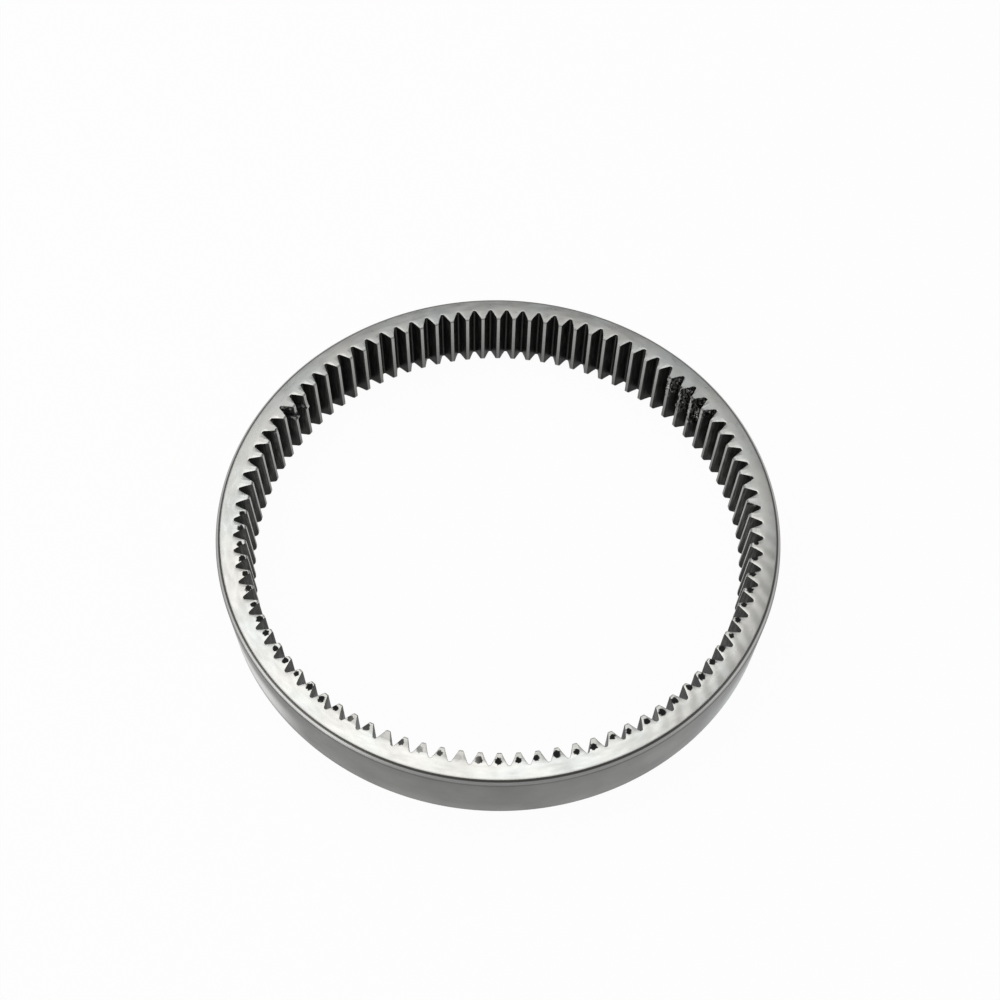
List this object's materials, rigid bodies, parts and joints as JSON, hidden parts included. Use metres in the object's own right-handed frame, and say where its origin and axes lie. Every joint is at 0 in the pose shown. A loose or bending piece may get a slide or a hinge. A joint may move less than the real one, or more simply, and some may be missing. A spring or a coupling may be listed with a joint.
{
  "type": "internal ring gear",
  "caption": "Plain steel ring with straight spur teeth cut round its bore and a smooth outside wall for pressing into a housing.",
  "frame": {"origin": "centre of the lower end face, on the ring's axis", "axes": "+Z along the ring's axis, up from the lower end face to the end face with the wide outside chamfer; +X passes through the middle of a tooth space"},
  "size_m": [0.202, 0.202, 0.026],
  "materials": {
    "gear_steel": "ground end faces, fine-turned outside wall, dark oiled tooth spaces"
  },
  "bodies": {
    "root": {"ring_gear": "gear_steel"}
  },
  "joints": []
}
